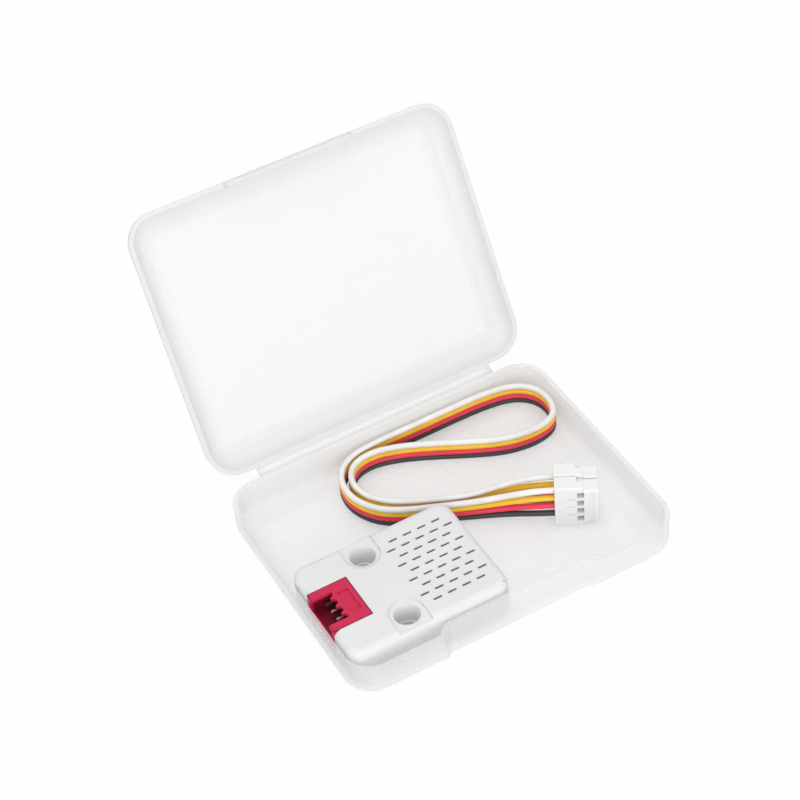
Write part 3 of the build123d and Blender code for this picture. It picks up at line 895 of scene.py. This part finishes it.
@dataclass
class Lead:
    """The four-wire lead: a flat ribbon on edge that fans out to a plug at each end."""

    wire_radius: float = 0.575 * MM
    wire_pitch: float = 1.2 * MM
    floor_height: float = 1.2 * MM
    contact_pitch: float = 2.0 * MM
    plug_middle_height: float = 5.9 * MM
    plug_thickness: float = 3.3 * MM
    plug_gap: float = 0.1 * MM
    plug_corner: tuple[float, float] = (0.01674, -0.00954)
    plug_turn: float = math.radians(-29.8)
    exit_run: float = 3.0 * MM
    real_length: float = 0.184
    round_steps: int = 6
    line_steps: int = 10
    wires: tuple[tuple[str, Finishes, Slot], ...] = (
        ("wire_black", Finishes.BLACK, Slot.WIRE_BLACK),
        ("wire_red", Finishes.RED, Slot.WIRE_RED),
        ("wire_yellow", Finishes.YELLOW, Slot.WIRE_YELLOW),
        ("wire_white", Finishes.WHITE, Slot.WIRE_WHITE),
    )
    # X, Y and how far the wires have risen from the ribbon's heights to the plug's
    route: tuple[Point, ...] = (
        (0.01120, -0.00360, 0.55),
        (0.00579, -0.00020, 0.08),
        (-0.00041, 0.00291, 0.0),
        (-0.00641, 0.00560, 0.0),
        (-0.01078, 0.00890, 0.0),
        (-0.01320, 0.01420, 0.0),
        (-0.01228, 0.02000, 0.0),
        (-0.00801, 0.02339, 0.0),
        (-0.00119, 0.02384, 0.0),
        (0.00602, 0.02374, 0.0),
        (0.01349, 0.02379, 0.0),
        (0.02079, 0.02374, 0.0),
        (0.02719, 0.02280, 0.0),
        (0.03087, 0.01960, 0.0),
        (0.03149, 0.01491, 0.0),
        (0.02960, 0.01099, 0.0),
        (0.02461, 0.00991, 0.0),
        (0.01861, 0.01099, 0.0),
        (0.01241, 0.01420, 0.0),
        (0.00621, 0.01780, 0.0),
        (0.00060, 0.02061, 0.0),
        (-0.00459, 0.02200, 0.0),
        (-0.00899, 0.02089, 0.0),
        (-0.01121, 0.01719, 0.0),
        (-0.01059, 0.01260, 0.0),
        (-0.00720, 0.00859, 0.0),
        (-0.00159, 0.00541, 0.0),
        (0.00500, 0.00230, 0.0),
        (0.00902, 0.00109, 0.12),
        (0.01319, -0.00100, 0.55),
    )

    def build(self) -> None:
        """Makes the wires, and dresses the plugs and their contacts."""
        for letter in "ab":
            dress(f"plug_housing_{letter}", Finishes.PLUG)
            dress(f"plug_contacts_{letter}", Finishes.PIN)
        for place, (name, finish, slot) in enumerate(self.wires):
            self.wire(place, name, finish)

    def plug_exit(self, row: int) -> tuple[Vector, Vector]:
        """Where the wires enter a plug.

        Args:
            row: 0 for the front plug and 1 for the one behind it.

        Returns:
            The middle of the plug's wire end, and the direction towards its mating end.
        """
        along = Vector((math.cos(self.plug_turn), math.sin(self.plug_turn), 0.0))
        across = Vector((-along.y, along.x, 0.0))
        shift = self.plug_thickness / 2 + row * (self.plug_thickness + self.plug_gap)
        middle = Vector((*self.plug_corner, self.plug_middle_height)) + across * shift
        return middle, along

    def wire(self, place: int, name: str, finish: Finishes) -> None:
        """Makes one wire along the lead's route.

        Args:
            place: Its place in the ribbon, 0 at the bottom.
            name: The name of the CAD node that it stands for.
            finish: Its insulation.
        """
        ribbon_height = self.floor_height + self.wire_radius + place * self.wire_pitch
        middle_place = (len(self.wires) - 1) / 2
        plug_height = self.plug_middle_height + (place - middle_place) * self.contact_pitch
        (exit_a, along), (exit_b, _) = self.plug_exit(0), self.plug_exit(1)
        start_a, start_b = exit_a - along * self.exit_run, exit_b - along * self.exit_run
        points = [(exit_a.x, exit_a.y, 1.0), (start_a.x, start_a.y, 1.0), *self.route]
        points += [(start_b.x, start_b.y, 1.0), (exit_b.x, exit_b.y, 1.0)]
        curve = bpy.data.curves.new(f"{name}_line", "CURVE")
        curve.dimensions = "3D"
        curve.bevel_depth = self.wire_radius
        curve.bevel_resolution = self.round_steps
        curve.resolution_u = self.line_steps
        curve.use_fill_caps = True
        spline = curve.splines.new("NURBS")
        spline.points.add(len(points) - 1)
        for control, (x, y, rise) in zip(spline.points, points):
            control.co = (x, y, ribbon_height + rise * (plug_height - ribbon_height), 1.0)
        spline.order_u = 3
        spline.use_endpoint_u = True
        curve.materials.append(finish.material())
        piece = bpy.data.objects.new(f"{name}_insulation", curve)
        bpy.context.scene.collection.objects.link(piece)
        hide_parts(name)
        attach(piece, Body.LEAD.value)
        log.info("%s follows %d points", piece.name, len(points))


@dataclass
class Studio:
    """The white stage, soft lights and camera of the picture."""

    camera_place: Point = (-0.12436, -0.24340, 0.30158)
    camera_target: Point = (0.00178, 0.01967, 0.01780)
    camera_roll: float = math.radians(-5.67)
    focal_length_px: float = 2203.09
    sight: Span = (0.01, 20.0)
    floor_side: float = 6.0
    floor_height: float = -0.00005
    floor_colour: Colour = (0.86, 0.86, 0.86)
    floor_roughness: float = 0.9
    floor_glow: float = 0.94
    world_light: float = 0.62
    lamps: tuple[tuple[str, Point, float, float], ...] = (
        ("key", (-0.05, -0.02, 0.80), 0.50, 1.65),
        ("fill", (-0.26, -0.76, 0.32), 0.60, 3.5),
        ("back", (0.10, 0.75, 0.55), 0.60, 0.8),
    )

    def build(self) -> None:
        """Makes the stage, the lights and the camera."""
        self.camera()
        self.floor()
        self.world()
        for name, place, side, power in self.lamps:
            self.lamp(name, Vector(place), side, power)
        bpy.context.scene.view_settings.view_transform = "Standard"

    def camera(self) -> None:
        """Places the camera of the main picture."""
        data = bpy.data.cameras.new("camera")
        data.sensor_width = SENSOR_WIDTH
        data.lens = self.focal_length_px / IMAGE_SIDE * SENSOR_WIDTH
        data.clip_start, data.clip_end = self.sight
        camera = bpy.data.objects.new("camera", data)
        place = Vector(self.camera_place)
        forward = (Vector(self.camera_target) - place).normalized()
        level = forward.cross(Vector((0.0, 0.0, 1.0))).normalized()
        upright = level.cross(forward)
        right = level * math.cos(self.camera_roll) + upright * math.sin(self.camera_roll)
        up = right.cross(forward)
        turn = Matrix((right, up, -forward)).transposed()
        camera.matrix_world = Matrix.Translation(place) @ turn.to_4x4()
        bpy.context.scene.collection.objects.link(camera)
        bpy.context.scene.camera = camera

    def lamp(self, name: str, place: Vector, side: float, power: float) -> None:
        """Makes a soft square lamp that points at the object.

        Args:
            name: The lamp's name.
            place: Where it stands.
            side: The length of its side.
            power: Its power, in watts.
        """
        data = bpy.data.lights.new(name, "AREA")
        data.shape = "SQUARE"
        data.size = side
        data.energy = power
        lamp = bpy.data.objects.new(name, data)
        lamp.location = place
        lamp.rotation_euler = (-place).to_track_quat("-Z", "Y").to_euler()
        bpy.context.scene.collection.objects.link(lamp)

    def floor(self) -> None:
        """Makes the floor: white where it is seen, and with the object's soft shadow."""
        half = self.floor_side / 2
        corners = [(x * half, y * half, self.floor_height) for x, y in ((-1, -1), (1, -1), (1, 1), (-1, 1))]
        mesh = bpy.data.meshes.new("floor")
        mesh.from_pydata(corners, [], [(0, 1, 2, 3)])
        floor = bpy.data.objects.new("floor", mesh)
        bpy.context.scene.collection.objects.link(floor)
        shader = Shader("floor")
        shader.set(base_color=self.floor_colour, roughness=self.floor_roughness)
        glow = shader.node("ShaderNodeEmission", inputs={"Color": PURE_WHITE, "Strength": 1.0})
        inputs = {0: shader.seen() * self.floor_glow, 1: shader.bare, 2: glow}
        shader.end(shader.node("ShaderNodeMixShader", inputs=inputs))
        mesh.materials.append(shader.material)

    def world(self) -> None:
        """Makes the surroundings: pure white where they are seen, and softer as light."""
        world = bpy.data.worlds.new("surroundings")
        bpy.context.scene.world = world
        world.use_nodes = True
        wiring = Wiring(world.node_tree, "ShaderNodeOutputWorld")
        strength = spread(wiring.seen(), (self.world_light, 1.0))
        inputs = {"Color": PURE_WHITE, "Strength": strength}
        wiring.end(wiring.node("ShaderNodeBackground", inputs=inputs))


def main() -> None:
    """Builds the picture, sub-assembly by sub-assembly."""
    logging.basicConfig(level=logging.INFO, format="%(name)s: %(message)s")
    Studio().build()
    Lead().build()
    Case().build()
    SensorUnit().build()


if __name__ == "__main__":
    main()
